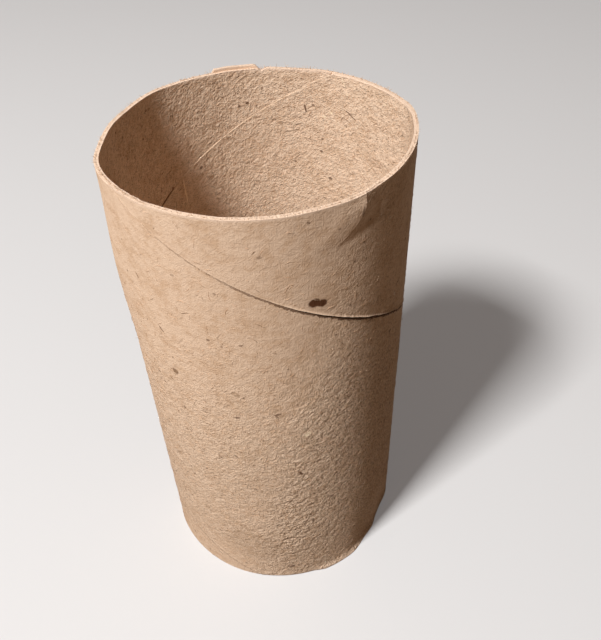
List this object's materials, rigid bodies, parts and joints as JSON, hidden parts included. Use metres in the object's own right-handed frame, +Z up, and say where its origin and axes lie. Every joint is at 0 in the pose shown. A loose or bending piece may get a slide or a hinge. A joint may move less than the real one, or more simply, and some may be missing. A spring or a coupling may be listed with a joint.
{
  "type": "cardboard roll core",
  "caption": "Short open tube of spirally wound brown board, slightly oval, the spent core of a roll of tissue.",
  "frame": {"origin": "middle of the foot, on the surface the tube stands on", "axes": "+Z up along the tube, X along the oval's long width, -Y towards the front"},
  "size_m": [0.0482, 0.0428, 0.094],
  "materials": {
    "outer_board": "uncoated brown recycled board with fibres, specks and a fuzzy cut edge",
    "inner_board": "uncoated brown recycled board with fibres and a faint slanting grain"
  },
  "bodies": {
    "root": {"outer_ply": "outer_board", "inner_ply": "inner_board"}
  },
  "joints": []
}
